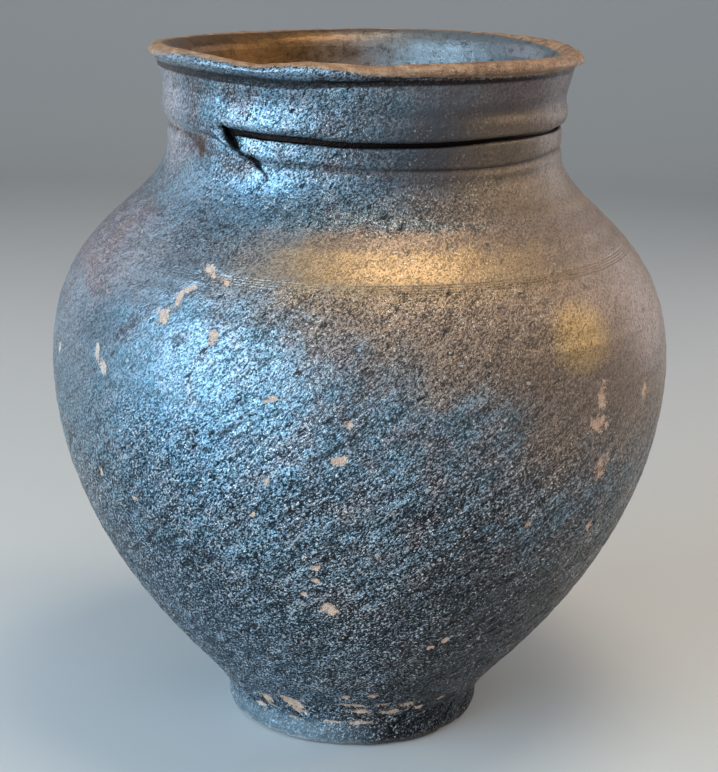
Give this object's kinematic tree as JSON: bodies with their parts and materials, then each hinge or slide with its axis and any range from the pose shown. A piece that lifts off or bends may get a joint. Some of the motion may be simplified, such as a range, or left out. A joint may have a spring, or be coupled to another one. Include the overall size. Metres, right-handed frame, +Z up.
{
  "type": "stoneware storage jar",
  "caption": "Wide-mouthed round stoneware jar with a full belly on a narrow foot, a short banded neck and a rolled lip, for holding liquids or dry food.",
  "frame": {"origin": "on the ground, under the middle of the foot", "axes": "+Z up the axis of the jar, the X and Y axes level"},
  "size_m": [0.27, 0.27, 0.301],
  "materials": {
    "iron_glaze": "dark brown-black iron glaze, pitted like orange peel, satin to glossy",
    "worn_glaze": "tan, where the glaze has drawn thin and worn off the lip",
    "bare_clay": "matt fired clay"
  },
  "bodies": {
    "root": {"foot_ring": "iron_glaze", "base_slab": "bare_clay", "lower_wall": "iron_glaze", "shoulder_wall": "iron_glaze", "neck_wall": "iron_glaze", "neck_cordon": "iron_glaze", "neck_collar": "iron_glaze", "rim_lip": "worn_glaze", "floor_coil": "bare_clay", "belly_coil": "bare_clay", "neck_coil": "bare_clay"}
  },
  "joints": []
}
